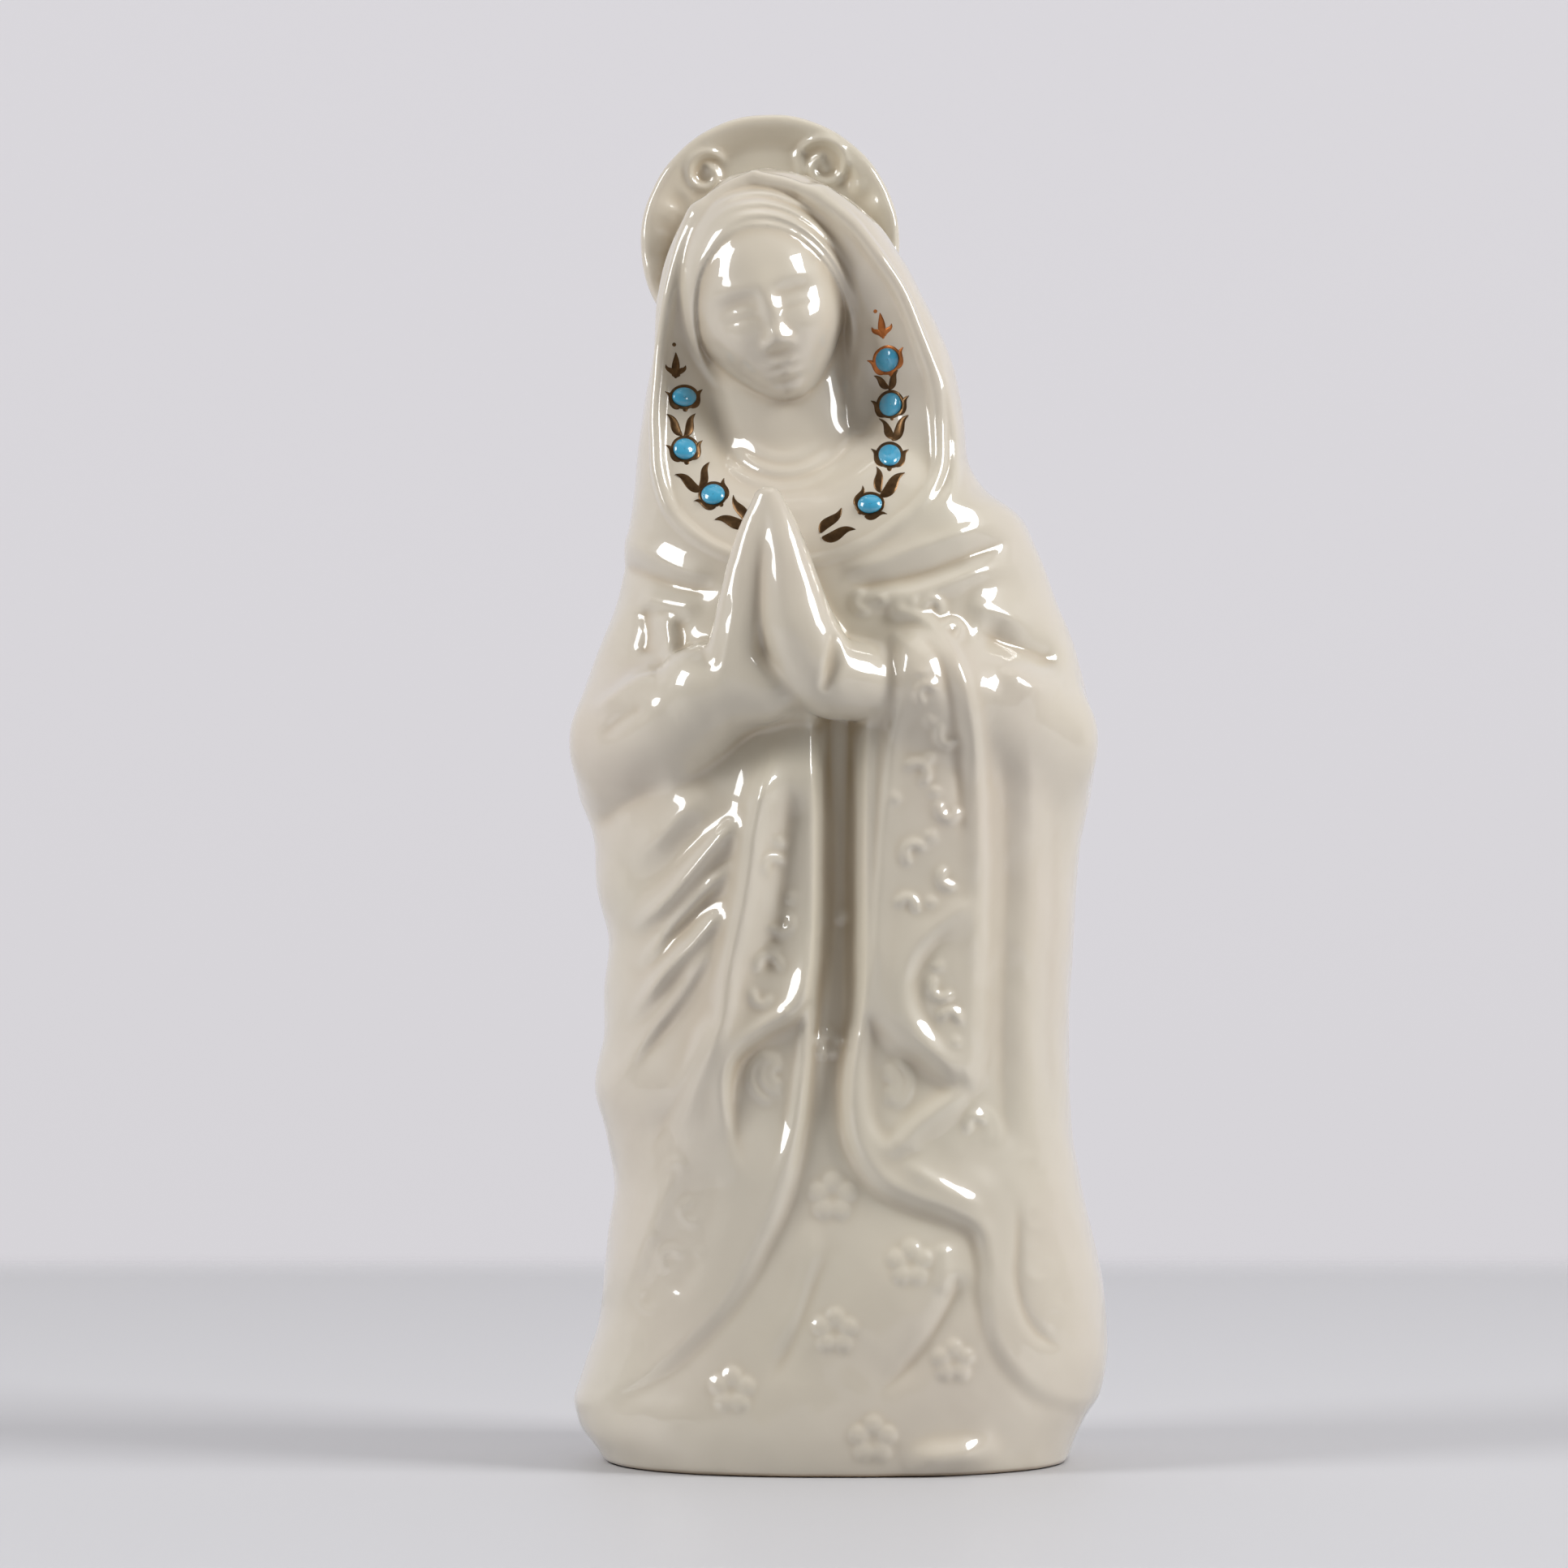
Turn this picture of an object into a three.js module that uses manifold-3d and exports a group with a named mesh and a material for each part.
// A standing Madonna at prayer in glazed ivory porcelain, with turquoise enamel jewels and gilded
// leaves on the lining of her hood. Millimetres, +Z up, the figure faces -Y, and the foot ring's
// centre is the origin. The pieces are the castings that are luted together before the firing,
// drawn with a small gap at each seam, and the jewels and gilding that are fired on afterwards.
import * as THREE from 'three';
import { mergeVertices } from 'three/addons/utils/BufferGeometryUtils.js';
import Module from 'manifold-3d';

const wasm = await Module();
wasm.setup();

// ---- Driving dimensions ------------------------------------------------------------------------
const HEIGHT = 200; // foot to the top of the halo
const WALL = 3; // cast wall of the hollow robe
const SEAM = 0.3; // gap between neighbouring pieces
const FINEST = 0.02; // smallest detail kept where pieces are cut
const POWER = 2.3; // squareness of the robe's plan, 2 being an ellipse
const MAP_RADIUS = 33; // turns a robe angle in radians into a length along the surface
const GOWN_DEPTH = 3.2; // how far the gown lies behind the cloak's surface
const FOOT_DEPTH = 0.4; // the same at the foot, which it flows out to meet
const HOLLOW_TOP = 128; // top of the hollow inside the robe
const DOME_HEIGHT = 6; // the hollow's dome, above that
const HALO_RADIUS = 19.5;
const HEAD = new THREE.Vector3(-10.6, -2, 170.8); // middle of the head
const HEAD_SIZE = [11.2, 13.6, 15.2]; // half its width, depth and height
const HEAD_TILT = THREE.MathUtils.degToRad(11); // the head leans to its own right
const FACE_CROWDING = 0.5; // sets the head's sides closer together at the face
const JEWEL_RADIUS = 1.62;

// Height, half-widths to -X and +X, and depths to the front and the back, of the robe.
const ROBE = [
  [0, 34.4, 34.4, 27.5, 27.5],
  [8, 38.8, 37.4, 29.0, 30.2],
  [16, 37.2, 39.3, 29.2, 31.0],
  [26, 35.0, 39.2, 28.8, 30.6],
  [36, 33.8, 37.4, 28.0, 29.4],
  [46, 33.8, 35.4, 27.0, 28.4],
  [56, 36.0, 34.4, 26.0, 27.7],
  [66, 35.0, 34.3, 25.2, 27.2],
  [78, 34.2, 35.0, 24.5, 27.0],
  [92, 36.8, 36.2, 24.0, 27.0],
  [104, 39.3, 38.2, 23.8, 27.0],
  [114, 38.0, 36.8, 23.4, 27.0],
  [124, 34.6, 33.8, 22.4, 26.4],
  [132, 32.2, 30.8, 21.0, 25.2],
  [140, 30.6, 25.0, 19.0, 23.6],
  [148, 29.8, 19.6, 17.0, 22.2],
];
// The same for the hood, with the sides given as places on X, and front and back on Y.
const HOOD = [
  [118, -33, 33, -21.6, 26.4],
  [126, -33, 32.4, -21.8, 26.0],
  [132, -32.2, 30.8, -21.4, 25.2],
  [138, -30.8, 26.2, -21, 24],
  [146, -30.0, 20.2, -20, 22.4],
  [152, -29.6, 18.8, -19, 21.6],
  [158, -28.8, 17.6, -18, 21],
  [164, -27.6, 16.0, -17.5, 20.4],
  [170, -27.0, 13.4, -17, 19.8],
  [175, -26.0, 10.5, -16, 19],
  [180, -24.5, 7.2, -14.5, 17.5],
  [184, -22.8, 3.8, -12.5, 15.5],
  [187.5, -20.6, 0.2, -10, 13],
  [190, -17.3, -4.0, -7, 9.5],
  [191.2, -13.0, -9.6, -3, 5],
];
// The hood's open rim as seen from the front, from the top round by +X.
const RIM = [
  [-11.5, 187.5], [-2.5, 184.8], [4.6, 177.5], [9.4, 168], [12.8, 156.5], [13.2, 148], [10.8, 140.2],
  [5, 135], [-3, 132.6], [-11, 132.8], [-17.5, 135.2], [-22.2, 140], [-25, 148], [-25.8, 158.5],
  [-25, 168], [-22.8, 179], [-18, 185.5],
];
const RIM_CENTRE = [-7, 160.5];
const POCKET = 0.9; // room left round the veil inside the hood
const SHOULDER = 2.5; // thickness of the hood's floor, below the collar
// How the hood's lining closes in behind the rim: place on Y, then share of the rim's size.
const LINING = [
  [-42, 1.12], [-24, 1.04], [-18, 1], [-16.4, 0.88], [-14, 0.76], [-10, 0.66], [-4, 0.56], [1, 0.3], [2, 0],
];
const OPENING_TOP = 112; // top of the gown, behind the hands
// The edge of the gown's opening between the cloak's two sides, seen from the front.
const OPENING_LEFT = [
  [-3.3, OPENING_TOP], [-3.3, 79], [-4, 70], [-4.6, 57], [-7, 43.4], [-11.1, 31], [-14.4, 24], [-19.2, 19.4],
  [-25.2, 14], [-30, 10.4], [-36, 7.4], [-46, 6.6], [-46, -5],
];
const OPENING_RIGHT = [
  [46, -5], [46, 8.6], [37, 9], [32, 10.4], [27.2, 13], [22.6, 17.4], [18.8, 23.6], [17.4, 29], [16.6, 33.4],
  [12.6, 36.8], [6.9, 39.8], [3.6, 44], [1.6, 51], [1.4, 57], [2.6, 68], [3, 84], [3, OPENING_TOP],
];
const HEM = 8; // the cloak's hem at the sides and back
// Folds: height, half-width, then places seen from the front. Negative heights are grooves.
const FOLDS = [
  [2.0, 3.0, [-9.8, 104], [-13.6, 92], [-17.6, 80], [-19.6, 68], [-21.4, 54], [-24.4, 36]],
  [1.5, 3.2, [-18, 94], [-23, 85], [-29, 77]],
  [1.3, 3.2, [-22, 76], [-26, 67], [-30, 58]],
  [
    1.2, 2.4,
    [4.8, 106], [4.8, 84], [4.6, 70], [3.6, 60], [4.4, 50], [7.4, 43], [14.4, 38.6], [19, 34], [20.6, 26],
  ],
  [1.2, 2.4, [-5.2, 104], [-5.2, 80], [-6, 70], [-6.8, 58], [-9.4, 44], [-13.6, 32], [-18.6, 23], [-27, 15]],
  [1.2, 3.4, [24, 112], [25.5, 96], [24.5, 80], [24, 60]],
  [-1.2, 3.4, [12, 120], [20, 119], [30, 114]],
  [1.1, 3.4, [20, 126], [26, 124], [33, 117]],
];
const ROBE_SIDES = 56;
const FRONT_CROWDING = 0.38; // sets the robe's sides closer together at the front
const BACK_FOLDS = 7; // soft upright folds round the back
const BACK_FOLD_HEIGHT = 1.1;
// The draped front of each sleeve, seen from the front.
const LEFT_DRAPE = [
  [7, 117], [12.4, 121], [17.6, 116], [20.4, 104], [20.6, 84], [20.2, 66], [19, 56], [13.4, 61], [9.8, 67],
  [9.2, 74], [13, 78.6], [8.4, 88], [6.6, 100],
];
const RIGHT_DRAPE = [
  [-9.2, 108], [-5, 104], [-5, 79], [-6.2, 71], [-10.8, 65.4], [-16, 61], [-16.2, 56], [-19, 66], [-16.4, 80],
  [-12.2, 93],
];

// ---- Finishes ----------------------------------------------------------------------------------
const porcelain = (shade = 0) =>
  new THREE.MeshStandardMaterial({
    color: new THREE.Color(0xe3ddd0).offsetHSL(0, 0, shade),
    roughness: 0.12,
    metalness: 0,
  });
const enamel = new THREE.MeshStandardMaterial({ color: 0x3f9fcb, roughness: 0.08, metalness: 0 });
const gold = new THREE.MeshStandardMaterial({ color: 0x8a5a22, roughness: 0.25, metalness: 0.9 });

// ---- Solids ------------------------------------------------------------------------------------
function solidOf(geometry) {
  const bare = geometry.clone();
  bare.deleteAttribute('normal');
  bare.deleteAttribute('uv');
  const merged = mergeVertices(bare, 1e-3);
  const kept = [];
  for (let i = 0; i < merged.index.count; i += 3) {
    const [a, b, c] = [0, 1, 2].map((k) => merged.index.getX(i + k));
    if (a !== b && b !== c && a !== c) kept.push(a, b, c);
  }
  return new wasm.Manifold(
    new wasm.Mesh({
      numProp: 3,
      vertProperties: merged.attributes.position.array,
      triVerts: new Uint32Array(kept),
    }),
  );
}

function geometryOf(solid) {
  const mesh = solid.getMesh();
  const geometry = new THREE.BufferGeometry();
  geometry.setAttribute('position', new THREE.BufferAttribute(mesh.vertProperties, 3));
  geometry.setIndex(new THREE.BufferAttribute(mesh.triVerts, 1));
  geometry.computeVertexNormals();
  return geometry;
}

/** The largest of a solid's separate bodies, without the slivers that cuts leave. */
function mainBody(solid) {
  return solid
    .simplify(FINEST)
    .decompose()
    .reduce((a, b) => (a.volume() > b.volume() ? a : b));
}

function named(name, solid, material) {
  const mesh = new THREE.Mesh(solid.isBufferGeometry ? solid : geometryOf(mainBody(solid)), material);
  mesh.name = name;
  return mesh;
}

// ---- Lofts -------------------------------------------------------------------------------------
/** A lathe's surface with each ring put in place by at(turn, ring). Turn 0 is the front, +90 is +X. */
function loft(ringCount, sides, at) {
  const profile = Array.from({ length: ringCount }, (_, i) => new THREE.Vector2(1, i));
  const geometry = new THREE.LatheGeometry(profile, sides);
  const position = geometry.attributes.position;
  for (let i = 0; i < position.count; i++) {
    const side = Math.floor(i / ringCount) % sides;
    position.setXYZ(i, ...at((2 * Math.PI * side) / sides, i % ringCount));
  }
  return geometry;
}

/** A smooth curve through a table's rows, read at a height: each column is one value. */
function tableCurve(rows) {
  return (height, column) => {
    const top = rows.length - 1;
    let i = 0;
    while (i < top - 1 && height > rows[i + 1][0]) i++;
    const share = THREE.MathUtils.clamp((height - rows[i][0]) / (rows[i + 1][0] - rows[i][0]), 0, 1);
    const p = [i - 1, i, i + 1, i + 2].map((k) => rows[THREE.MathUtils.clamp(k, 0, top)][column]);
    const rise = (p[2] - p[0]) / 2;
    const next = (p[3] - p[1]) / 2;
    const s2 = share * share;
    const s3 = s2 * share;
    const places = (2 * s3 - 3 * s2 + 1) * p[1] + (3 * s2 - 2 * s3) * p[2];
    return places + (s3 - 2 * s2 + share) * rise + (s3 - s2) * next;
  };
}
const robeAt = tableCurve(ROBE);
const hoodAt = tableCurve(HOOD);

/** The sine or cosine of a turn, squared off as the robe's plan is. */
const squared = (value) => Math.sign(value) * Math.abs(value) ** (2 / POWER);

/** The robe's turn at a place seen from the front. */
function turnAt(x, height) {
  const half = robeAt(height, x < 0 ? 1 : 2);
  const share = THREE.MathUtils.clamp(x / half, -1, 1);
  return Math.asin(Math.sign(share) * Math.abs(share) ** (POWER / 2));
}

const foldCurves = FOLDS.map(([height, width, ...places]) => {
  const points = places.map(([x, z]) => new THREE.Vector2(turnAt(x, z) * MAP_RADIUS, z));
  return { height, width, points: new THREE.SplineCurve(points).getPoints(24) };
});

/** How far the folds lift the cloak's surface at a turn and height. */
function foldsAt(turn, height) {
  const around = (turn > Math.PI ? turn - 2 * Math.PI : turn) * MAP_RADIUS;
  const here = new THREE.Vector2(around, height);
  let lift = 0;
  for (const fold of foldCurves) {
    const near = Math.min(...fold.points.map((p) => p.distanceToSquared(here)));
    lift += fold.height * Math.exp(-near / fold.width ** 2);
  }
  const behind = THREE.MathUtils.smoothstep(-Math.cos(turn), 0, 0.6);
  const low = 1 - THREE.MathUtils.smoothstep(height, 60, 135);
  return lift + BACK_FOLD_HEIGHT * behind * low * (Math.cos(turn * BACK_FOLDS * 2) - 0.6);
}

/** How far in from the cloak's surface the gown lies at a height. */
const gownInset = (height) =>
  -FOOT_DEPTH - (GOWN_DEPTH - FOOT_DEPTH) * THREE.MathUtils.smoothstep(height, 7, 40);

/** A point on the robe, moved out by offset, with the folds or without them. */
function robePoint(turn, height, offset, folded = true) {
  const out = offset + (folded ? foldsAt(turn, height) : 0);
  const x = Math.sin(turn);
  const y = -Math.cos(turn);
  const halfWidth = robeAt(height, x < 0 ? 1 : 2) + out;
  const depth = robeAt(height, y < 0 ? 3 : 4) + out;
  return [squared(x) * halfWidth, squared(y) * depth, height];
}

function steps(from, to, count) {
  return Array.from({ length: count + 1 }, (_, i) => from + ((to - from) * i) / count);
}

/** A closed solid of the robe's shape between two heights, moved out by offset(height). */
function robeSolid(bottom, top, offset, rings, folded = true) {
  const heights = steps(bottom, top, rings);
  const count = heights.length + 2;
  return solidOf(
    loft(count, ROBE_SIDES, (even, ring) => {
      const turn = even - FRONT_CROWDING * Math.sin(even);
      if (ring === 0) return [0, 0, bottom];
      if (ring === count - 1) return [0, 0, top];
      return robePoint(turn, heights[ring - 1], offset(heights[ring - 1]), folded);
    }),
  );
}
const CLOAK_RINGS = 38;
const ROBE_TOP = ROBE.at(-1)[0];
const cloakSolid = (offset, bottom = HEM - 2) => robeSolid(bottom, ROBE_TOP, () => offset, CLOAK_RINGS);

/** The hollow inside the robe, open at the foot and domed at the top. */
function robeHollow(sides) {
  const heights = steps(-2, HOLLOW_TOP, 12);
  const count = heights.length + 3;
  const inset = -(WALL + GOWN_DEPTH * 0.8);
  return solidOf(
    loft(count, sides, (turn, ring) => {
      if (ring === 0) return [0, 0, heights[0]];
      if (ring === count - 1) return [0, 0, HOLLOW_TOP + DOME_HEIGHT];
      if (ring === count - 2) {
        const [x, y] = robePoint(turn, HOLLOW_TOP, inset, false);
        return [x * 0.6, y * 0.6, HOLLOW_TOP + DOME_HEIGHT * 0.75];
      }
      return robePoint(turn, heights[ring - 1], inset, false);
    }),
  );
}

// Heights of the hood's rings, closer together at the crown.
const HOOD_HEIGHTS = [...steps(122, 180, 11), 184, 187.5, 190, 191.2];

/** The hood's outer shape, moved out by offset. */
function hoodSolid(offset, sides) {
  const count = HOOD_HEIGHTS.length + 2;
  return solidOf(
    loft(count, sides, (turn, ring) => {
      const height = HOOD_HEIGHTS[THREE.MathUtils.clamp(ring - 1, 0, HOOD_HEIGHTS.length - 1)];
      const [left, right, front, back] = [1, 2, 3, 4].map((k) => hoodAt(height, k));
      const middle = [(left + right) / 2, (front + back) / 2];
      if (ring === 0) return [...middle, height];
      if (ring === count - 1) return [...middle, height + 0.4 + offset];
      const x = middle[0] + squared(Math.sin(turn)) * ((right - left) / 2 + offset);
      const y = middle[1] - squared(Math.cos(turn)) * ((back - front) / 2 + offset);
      return [x, y, height];
    }),
  );
}

const rimCurve = new THREE.CatmullRomCurve3(
  RIM.map(([x, z]) => new THREE.Vector3(x, 0, z)),
  true,
);
/** The funnel in front of the hood's lining, shrunk all round by inset. */
function funnel(inset, sides) {
  const count = LINING.length + 1;
  const geometry = loft(count, sides, (turn, ring) => {
    const [y, share] = LINING[Math.max(LINING.length - 1 - ring, 0)];
    const back = y - inset;
    if (ring === 0) return [RIM_CENTRE[0], back, RIM_CENTRE[1]];
    if (ring === count - 1) return [RIM_CENTRE[0], LINING[0][0], RIM_CENTRE[1]];
    const rim = rimCurve.getPoint(1 - turn / (2 * Math.PI));
    const dx = rim.x - RIM_CENTRE[0];
    const dz = rim.z - RIM_CENTRE[1];
    const size = share - inset / Math.hypot(dx, dz);
    return [RIM_CENTRE[0] + dx * size, back, RIM_CENTRE[1] + dz * size];
  });
  return solidOf(geometry);
}

/** The room in front of the hood's lining, with a pocket for the veiled head, shrunk by inset. */
function hoodCavity(inset) {
  return joined([funnel(inset, 34), veiledHead(POCKET - inset)]).intersect(aboveShoulders(SHOULDER + inset));
}

const FAR_FRONT = -60; // a place on Y in front of the whole figure

/** Everything inside an outline seen from the front, from FAR_FRONT back to the given place on Y. */
function prism(outline, back, grow = 0) {
  const shape = new THREE.Shape(outline.map(([x, z]) => new THREE.Vector2(x, z)));
  const depth = back - FAR_FRONT;
  const geometry = new THREE.ExtrudeGeometry(shape, {
    depth,
    curveSegments: 1,
    bevelEnabled: grow > 0,
    bevelSize: grow,
    bevelThickness: grow,
    bevelSegments: 1,
  });
  geometry.rotateX(Math.PI / 2);
  geometry.translate(0, back, 0);
  return solidOf(geometry);
}

/** A rounded limb between two points with a radius at each end, its front to back stretched by depth. */
function limb(from, to, startRadius, endRadius, sides = 14, depth = 1) {
  const shallow = new THREE.Vector3(1, 1 / depth, 1);
  const a = new THREE.Vector3(...from).multiply(shallow);
  const b = new THREE.Vector3(...to).multiply(shallow);
  const arc = steps(0, Math.PI / 2, 3);
  const length = a.distanceTo(b);
  const profile = [
    ...arc.map((t) => new THREE.Vector2(startRadius * Math.sin(t), -startRadius * Math.cos(t))),
    ...arc.map((t) => new THREE.Vector2(endRadius * Math.cos(t), length + endRadius * Math.sin(t))),
  ];
  const geometry = new THREE.LatheGeometry(profile, sides);
  const along = b.sub(a).normalize();
  geometry.applyQuaternion(new THREE.Quaternion().setFromUnitVectors(new THREE.Vector3(0, 1, 0), along));
  return solidOf(geometry.translate(a.x, a.y, a.z).scale(1, depth, 1));
}

function joined(solids) {
  return solids.reduce((a, b) => a.add(b));
}

// ---- The castings ------------------------------------------------------------------------------
/** Everything above the sloping seat of the hood on the shoulders, raised by lift. */
function aboveShoulders(lift) {
  const slab = new THREE.BoxGeometry(160, 160, 100).translate(0, 0, 50);
  slab.rotateX(Math.atan(0.5));
  return solidOf(slab.translate(0, 0, 137 + lift));
}

const outline = [...OPENING_LEFT, ...OPENING_RIGHT];
const belowHem = (z) => solidOf(new THREE.BoxGeometry(120, 120, 40).translate(0, 0, z - 20));

function makeCloak() {
  return cloakSolid(0)
    .subtract(robeHollow(40))
    .subtract(prism(outline, 0))
    .subtract(belowHem(HEM))
    .subtract(aboveShoulders(-SEAM));
}

function makeGown() {
  const front = robeSolid(0, OPENING_TOP - SEAM, gownInset, 20, false);
  const inset = [
    ...OPENING_LEFT.map(([x, z]) => [x + SEAM * 1.2, z - SEAM]),
    ...OPENING_RIGHT.map(([x, z]) => [x - SEAM * 1.2, z - SEAM]),
  ];
  const foot = robeSolid(0, HEM - SEAM, gownInset, 3, false);
  const panel = front.intersect(prism(inset, -SEAM));
  return joined([foot, panel]).subtract(robeHollow(40));
}

function makeHood() {
  return hoodSolid(0, 34).intersect(aboveShoulders(0)).subtract(hoodCavity(0));
}

/** The head's frame: leaning to the figure's right and bowed a little. */
const headTurn = new THREE.Matrix4()
  .makeRotationFromEuler(new THREE.Euler(THREE.MathUtils.degToRad(8), -HEAD_TILT, 0, 'YXZ'))
  .setPosition(HEAD);

/** A smooth bump of the given height round a place on the face, in the head's own frame. */
function bump(x, z, atX, atZ, wide, tall, height) {
  return height * Math.exp(-(((x - atX) / wide) ** 2) - ((z - atZ) / tall) ** 2);
}

/** How far the features stand out of a plain face. The thirds are brow, foot of the nose and chin. */
function features(x, z) {
  const side = Math.abs(x);
  const bridge = bump(x, z, 0, -1.5, 1.3, 3.4, 1.3);
  const tip = bump(x, z, 0, -5.4, 1.7, 1.7, 1.6);
  const wings = bump(side, z, 1.5, -6, 1, 1, 0.5);
  const socket = bump(side, z, 4.2, 0, 2.6, 1.7, -1.3);
  const lid = bump(side, z, 4.3, -0.6, 1.8, 1, 0.9);
  const brow = bump(side, z, 4, 2.2, 3, 1, 0.4);
  const lips = bump(x, z, 0, -9.6, 2.5, 1.2, 0.8);
  const chin = bump(x, z, 0, -13.4, 2.8, 1.6, 0.8);
  return bridge + tip + wings + socket + lid + brow + lips + chin;
}

/** The head alone: a skull that narrows to the chin, with plain brow, nose, lips and chin. */
function skull(offset, sides = 30, rings = 30) {
  const geometry = new THREE.SphereGeometry(1, sides, rings).rotateX(Math.PI / 2);
  const position = geometry.attributes.position;
  for (let i = 0; i < position.count; i++) {
    const high = position.getZ(i);
    const even = Math.atan2(position.getX(i), -position.getY(i));
    const turn = even - FACE_CROWDING * Math.sin(even);
    const round = Math.sqrt(Math.max(1 - high * high, 0));
    const low = THREE.MathUtils.smoothstep(-high, 0.1, 1);
    const x = Math.sin(turn) * round * HEAD_SIZE[0] * (1 - 0.26 * low);
    const z = high * HEAD_SIZE[2];
    let y = -Math.cos(turn) * round * HEAD_SIZE[1] * (1 - 0.06 * low);
    if (y < -3) y -= features(x, z);
    const grow = 1 + offset / HEAD_SIZE[0];
    position.setXYZ(i, x * grow, y * grow, z * grow);
  }
  return solidOf(geometry.applyMatrix4(headTurn));
}
const neck = (offset) => limb([-6.4, 0, 143], [-8.6, 1, 163], 7.2 + offset, 6.4 + offset);

function makeHead() {
  return joined([skull(0), neck(0)]).intersect(hoodCavity(SEAM));
}

/** The veil's outside: a close cap round the head that falls to a collar below the neck. */
function veiledHead(grow) {
  const cap = new THREE.SphereGeometry(1, 22, 16).rotateX(Math.PI / 2);
  cap.scale(13.6 + grow, 14.4 + grow, 17.4 + grow).applyMatrix4(headTurn);
  return solidOf(cap).add(limb([-8, -4, 145], [-10, -2, 162], 11 + grow, 12 + grow, 16));
}

/** The veil under the hood, open round the face and the throat. */
function makeVeil() {
  const faceOpening = solidOf(
    new THREE.CylinderGeometry(1, 1, 1, 26)
      .scale(10.6, 40, 14.4)
      .translate(0, -21.5, -1.2)
      .applyMatrix4(headTurn),
  );
  const throat = joined([
    limb([-7, -22, 151], [-8.6, -22, 160], 6.5, 7.5),
    limb([-7, -14, 151], [-8.6, -8, 160], 6.8, 7.5),
  ]);
  return veiledHead(0)
    .intersect(hoodCavity(SEAM))
    .subtract(faceOpening)
    .subtract(throat)
    .subtract(skull(SEAM * 2, 18, 14))
    .subtract(neck(SEAM));
}

/** A raised spiral scroll on the halo's face, wound in towards its centre. */
function scroll([x, z, size, startTurn, hand]) {
  const turns = 1.35;
  const points = steps(0, 1, 16).map((t) => {
    const radius = size * (1 - 0.72 * t);
    const angle = startTurn + hand * t * turns * 2 * Math.PI;
    return new THREE.Vector3(x + radius * Math.cos(angle), 0, z + radius * Math.sin(angle));
  });
  const path = new THREE.CatmullRomCurve3(points);
  const section = new THREE.Shape().absellipse(0, 0, SCROLL_WIDTH, SCROLL_WIDTH, 0, 2 * Math.PI);
  return new THREE.ExtrudeGeometry(section, { steps: 22, curveSegments: 3, extrudePath: path });
}
const SCROLL_WIDTH = 0.6;
// Centre on X and Z, radius, where it starts, and which way it winds.
const SCROLLS = [[-19.6, 191.4, 2.6, 0, 1], [-2.6, 193.2, 3.2, Math.PI, -1]];
const HALO_BEAD = [3.2, 189.6];
const HALO_LEAN = THREE.MathUtils.degToRad(8); // the halo leans back
const HALO_X = -10.2;
const HALO_Y = 8;

/** The halo: a thin dish behind the hood, its rim turned forwards, with scrolls raised on its face. */
function makeHalo() {
  const middle = HEIGHT - HALO_RADIUS * Math.cos(HALO_LEAN) - 0.1;
  const profile = [
    [0, 0], [HALO_RADIUS - 2.6, -0.4], [HALO_RADIUS - 1.4, -1.6], [HALO_RADIUS - 0.4, -1.4],
    [HALO_RADIUS, 0], [HALO_RADIUS - 1, 1.8], [HALO_RADIUS - 4, 2.6], [0, 2.4],
  ].map(([r, back]) => new THREE.Vector2(r, back));
  const inPlace = (geometry) => solidOf(geometry.rotateX(-HALO_LEAN).translate(HALO_X, HALO_Y, middle));
  const raised = SCROLLS.map((place) => scroll(place).translate(-HALO_X, 0, -middle));
  const bead = new THREE.SphereGeometry(1.2, 10, 8);
  raised.push(bead.translate(HALO_BEAD[0] - HALO_X, 0, HALO_BEAD[1] - middle));
  const dish = new THREE.LatheGeometry(profile, 40);
  return joined([dish, ...raised].map(inPlace)).subtract(hoodSolid(SEAM, 34));
}

/** The forearm in its sleeve, and the drape that hangs from it down the front of the robe. */
function makeSleeve(arm, drape, grow) {
  const forearm = joined(arm.map(([from, to, r1, r2]) => limb(from, to, r1 + grow, r2 + grow, 18)));
  const cloth = cloakSolid(DRAPE_THICKNESS + grow)
    .intersect(prism(drape, 0, grow))
    .add(forearm);
  return cloth.subtract(cloakSolid(SEAM));
}
const DRAPE_THICKNESS = 1.9;
const LEFT_ARM = [
  [[28, -9.5, 107], [20, -17, 111], 8.8, 8.6],
  [[20, -17, 111], [11.4, -21.2, 115.6], 8.6, 6.8],
];
const RIGHT_ARM = [
  [[-29.6, -10, 106.6], [-25.6, -17, 108], 8.8, 8.6],
  [[-25.6, -17, 108], [-20.6, -21.4, 113], 8.6, 6.8],
];
const leftSleeve = (grow) => makeSleeve(LEFT_ARM, LEFT_DRAPE, grow);
const rightSleeve = (grow) => makeSleeve(RIGHT_ARM, RIGHT_DRAPE, grow);

/** A hand held up in prayer: fingers and palm as one tapering form, then the wrist. */
const HAND_DEPTH = 1.3; // a hand is deeper from front to back than it is wide
const LEFT_HAND = [
  [[-9.3, -24, 141.2], [-7.4, -25.4, 131], 1.5, 3.4],
  [[-7.4, -25.4, 131], [-5.6, -25.8, 121.6], 3.4, 4.8],
  [[-5.6, -25.8, 121.6], [-4.6, -24.6, 114], 4.8, 4.8],
  [[-4.6, -24.6, 114], [2.2, -22.6, 115], 4.8, 5.6],
];
const RIGHT_HAND = [
  [[-11.3, -24, 141.2], [-13, -25.4, 131], 1.5, 3.2],
  [[-13, -25.4, 131], [-14.6, -25.6, 121.6], 3.2, 4.2],
  [[-14.6, -25.6, 121.6], [-15.4, -24, 114], 4.2, 4.8],
];
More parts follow.
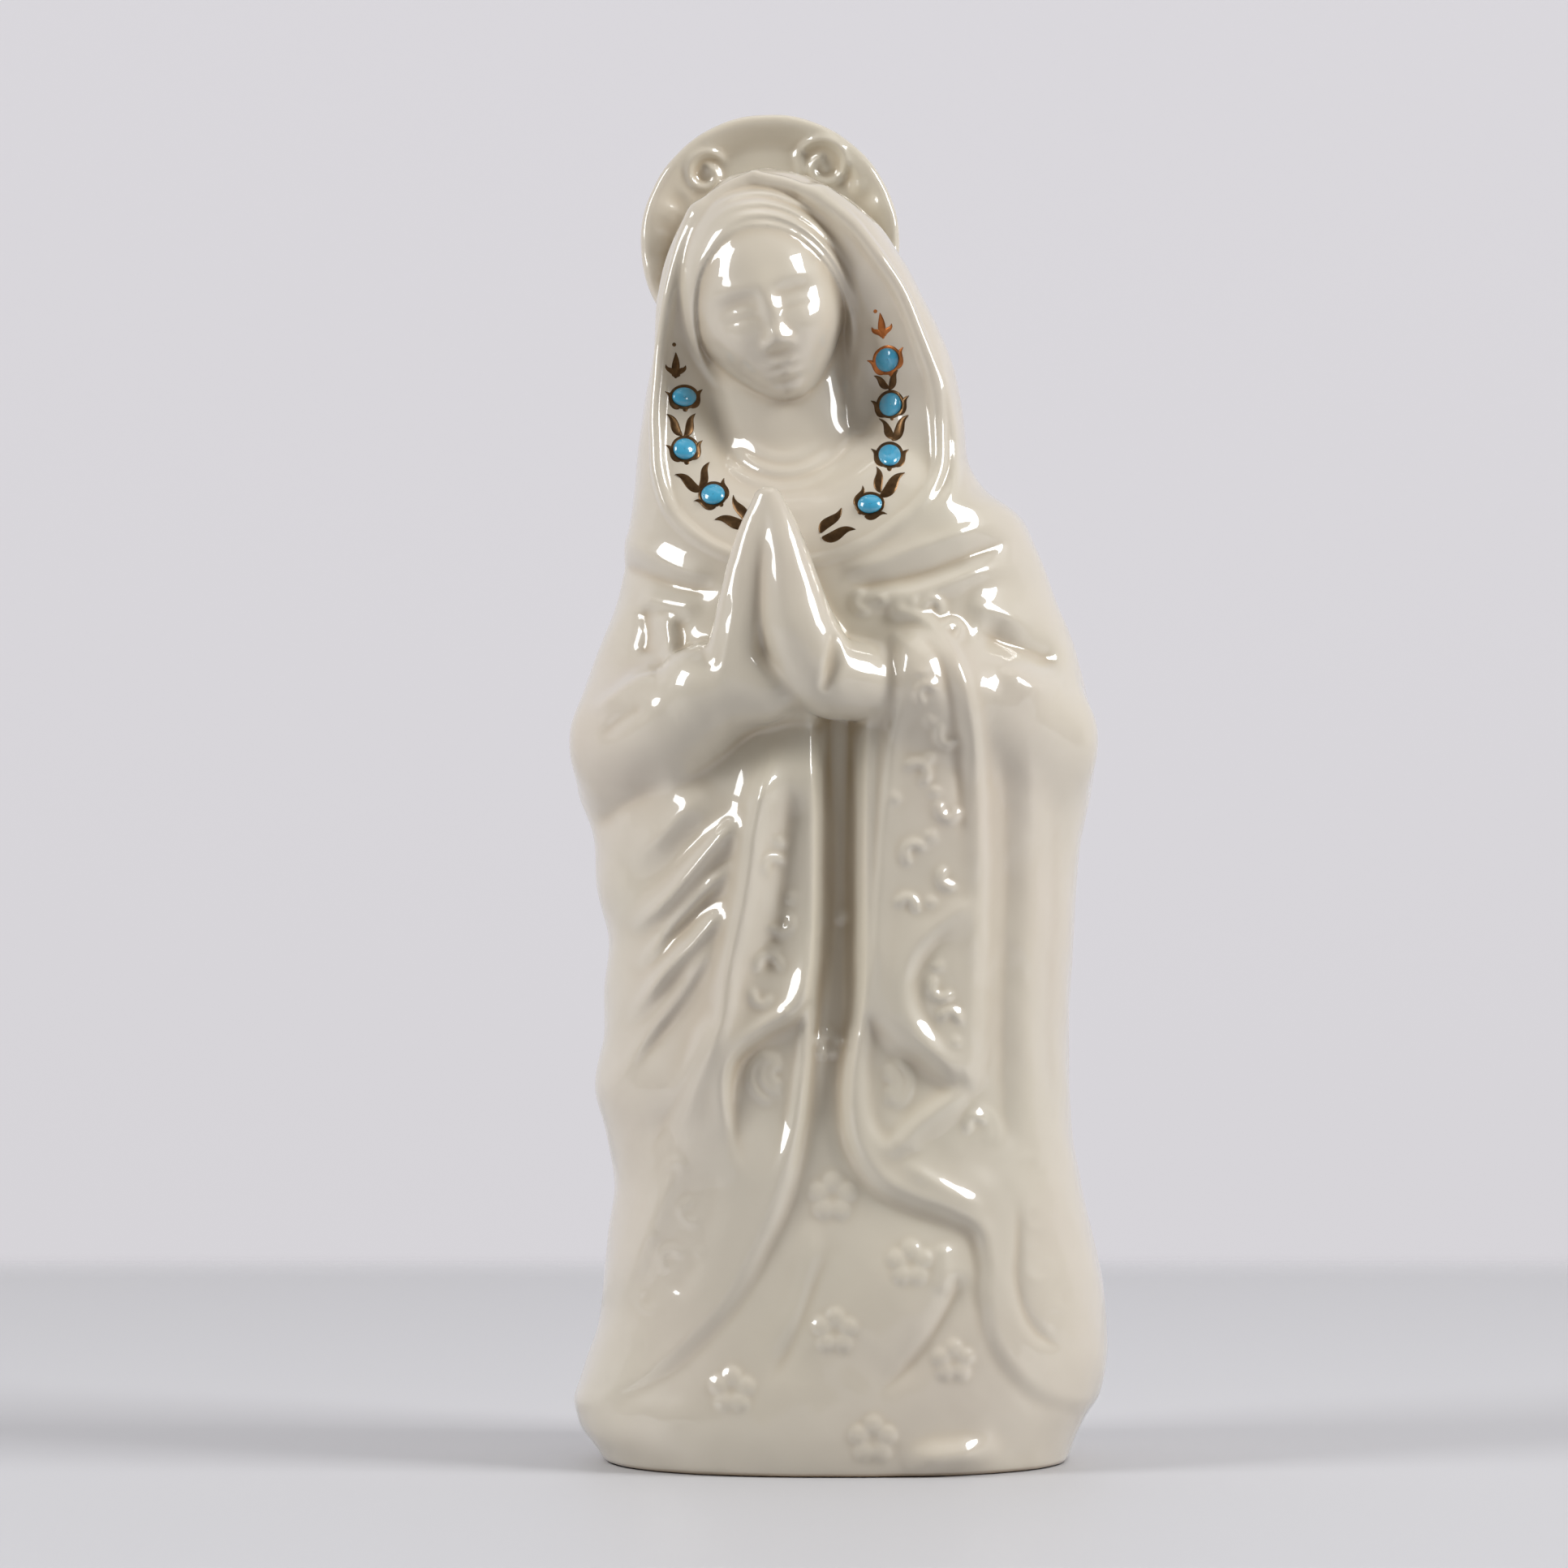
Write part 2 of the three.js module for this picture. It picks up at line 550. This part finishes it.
function makeHand(parts, palmSide) {
  const palms = new THREE.BoxGeometry(60, 60, 80).translate(palmSide * (30 + SEAM / 2), -24, 126);
  palms.translate(-10.2, 0, 0);
  return joined(parts.map(([from, to, r1, r2]) => limb(from, to, r1, r2, 16, HAND_DEPTH)))
    .intersect(solidOf(palms))
    .subtract(cloakSolid(SEAM))
    .subtract(hoodSolid(SEAM, 34).intersect(aboveShoulders(-SEAM)))
    .subtract(leftSleeve(SEAM))
    .subtract(rightSleeve(SEAM));
}

// ---- Jewels and gilding ------------------------------------------------------------------------
// Each string runs down the lining: places seen from the front, and the turn of its stem in degrees.
const STRINGS = {
  left: {
    dot: [5.2, 169.4],
    sprig: [6.2, 166.4, 6],
    jewels: [[7.3, 162.4, 4], [8.2, 155.8, 0], [8, 147.9, 0], [4.6, 140.3, -38]],
    leaves: [[7.8, 158.2, 4], [8.3, 150.9, 0], [6.4, 142.6, -18], [-1.8, 136.4, -62]],
  },
  right: {
    dot: [-23.8, 164.6],
    sprig: [-23.6, 160.6, 0],
    jewels: [[-22.4, 156.8, 0], [-22.4, 149, 8], [-18.8, 142, 34]],
    leaves: [[-22.8, 151.4, 0], [-20.6, 143.4, 24], [-14.4, 138.2, 58]],
  },
};
const GILDING = 0.35; // thickness of each gilded piece, as drawn
const LINING_GAP = 0.7; // how far the pieces stand off the faceted lining

function leafShape(side) {
  const shape = new THREE.Shape();
  shape.moveTo(0.15 * side, 0);
  shape.bezierCurveTo(1.4 * side, 0, 1.9 * side, 1.2, 2.4 * side, 2.4);
  shape.bezierCurveTo(1.2 * side, 2.1, 0.5 * side, 1.1, 0.15 * side, 0);
  return shape;
}

/** Three petals in a cup, as at the head of each string. */
function sprigShape() {
  const shape = new THREE.Shape();
  shape.moveTo(0, -0.9);
  shape.bezierCurveTo(0.9, -0.9, 1, 0.3, 1.5, 0.7);
  shape.bezierCurveTo(0.9, 0.8, 0.6, 0.4, 0.5, 0.1);
  shape.bezierCurveTo(0.8, 1.1, 0.5, 2, 0, 2.6);
  shape.bezierCurveTo(-0.5, 2, -0.8, 1.1, -0.5, 0.1);
  shape.bezierCurveTo(-0.6, 0.4, -0.9, 0.8, -1.5, 0.7);
  shape.bezierCurveTo(-1, 0.3, -0.9, -0.9, 0, -0.9);
  return shape;
}

/** The cup that holds a jewel: a ring with two pointed horns and a bud below. */
function cupShape() {
  const inner = JEWEL_RADIUS + 0.15;
  const shape = new THREE.Shape();
  shape.moveTo(0, 2.2);
  shape.bezierCurveTo(1, 2.2, 1.6, 1.8, 1.9, 1.2);
  shape.lineTo(2.8, 1.7);
  shape.bezierCurveTo(2.5, 0.8, 2.4, -0.2, 1.9, -1);
  shape.bezierCurveTo(1.5, -1.7, 1, -2, 0.5, -2.1);
  shape.bezierCurveTo(0.5, -2.9, -0.5, -2.9, -0.5, -2.1);
  shape.bezierCurveTo(-1, -2, -1.5, -1.7, -1.9, -1);
  shape.bezierCurveTo(-2.4, -0.2, -2.5, 0.8, -2.8, 1.7);
  shape.lineTo(-1.9, 1.2);
  shape.bezierCurveTo(-1.6, 1.8, -1, 2.2, 0, 2.2);
  shape.holes.push(new THREE.Path().absarc(0, 0, inner, 0, 2 * Math.PI, false));
  return shape;
}

function gilded(shape) {
  return new THREE.ExtrudeGeometry(shape, { depth: GILDING, curveSegments: 4, bevelEnabled: false });
}

function jewelGeometry() {
  const dome = steps(0, Math.PI / 2, 4).map(
    (t) => new THREE.Vector2(JEWEL_RADIUS * Math.cos(t), 1.25 * Math.sin(t) + 0.15),
  );
  const profile = [new THREE.Vector2(0, 0), new THREE.Vector2(JEWEL_RADIUS - 0.15, 0), ...dome];
  profile[profile.length - 1].x = 0;
  return new THREE.LatheGeometry(profile, 14).rotateX(Math.PI / 2);
}

/** Lays a piece on the lining where a line from the front at x, z meets it, its stem turned. */
function layOnLining(mesh, lining, x, z, stemTurn = 0) {
  const ray = new THREE.Raycaster(new THREE.Vector3(x, FAR_FRONT, z), new THREE.Vector3(0, 1, 0));
  const hit = ray.intersectObject(lining)[0];
  const around = [[-2, 0], [2, 0], [0, -2], [0, 2], [0, 0]].map(([dx, dz]) => {
    ray.set(new THREE.Vector3(x + dx, FAR_FRONT, z + dz), new THREE.Vector3(0, 1, 0));
    return ray.intersectObject(lining)[0].face.normal;
  });
  const out = around.reduce((sum, n) => sum.add(n), new THREE.Vector3()).normalize();
  mesh.position.copy(hit.point).addScaledVector(out, LINING_GAP);
  const up = new THREE.Vector3(0, 0, 1);
  const across = new THREE.Vector3().crossVectors(up, out).normalize();
  const stem = new THREE.Vector3().crossVectors(out, across);
  mesh.quaternion.setFromRotationMatrix(new THREE.Matrix4().makeBasis(across, stem, out));
  mesh.rotateZ(THREE.MathUtils.degToRad(stemTurn));
  return mesh;
}

/** All the jewels and gilding of one string, each its own piece. */
function makeString(side, lining) {
  const { dot, sprig, jewels, leaves } = STRINGS[side];
  const dotDisc = new THREE.CylinderGeometry(0.4, 0.4, GILDING, 12).rotateX(Math.PI / 2);
  const made = [
    layOnLining(named(`gilt_dot_${side}`, dotDisc, gold), lining, ...dot),
    layOnLining(named(`gilt_sprig_${side}`, gilded(sprigShape()), gold), lining, ...sprig),
  ];
  jewels.forEach((place, i) => {
    made.push(layOnLining(named(`jewel_${side}_${i + 1}`, jewelGeometry(), enamel), lining, ...place));
    made.push(layOnLining(named(`gilt_cup_${side}_${i + 1}`, gilded(cupShape()), gold), lining, ...place));
  });
  leaves.forEach((place, i) => {
    for (const [hand, sign] of [['inner', side === 'left' ? -1 : 1], ['outer', side === 'left' ? 1 : -1]]) {
      const leaf = named(`gilt_leaf_${side}_${i + 1}_${hand}`, gilded(leafShape(sign)), gold);
      made.push(layOnLining(leaf, lining, ...place));
    }
  });
  return made;
}

// ---- The figure --------------------------------------------------------------------------------
const figure = new THREE.Group();
const hood = named('hood', makeHood(), porcelain());
figure.add(
  named('cloak', makeCloak(), porcelain()),
  named('gown', makeGown(), porcelain(-0.03)),
  hood,
  named('veil', makeVeil(), porcelain(0.02)),
  named('head', makeHead(), porcelain(0.03)),
  named('halo', makeHalo(), porcelain(-0.02)),
  named('left_sleeve', leftSleeve(0), porcelain()),
  named('right_sleeve', rightSleeve(0), porcelain()),
  named('left_hand', makeHand(LEFT_HAND, 1), porcelain(0.03)),
  named('right_hand', makeHand(RIGHT_HAND, -1), porcelain(0.03)),
  ...makeString('left', hood),
  ...makeString('right', hood),
);

export default figure;
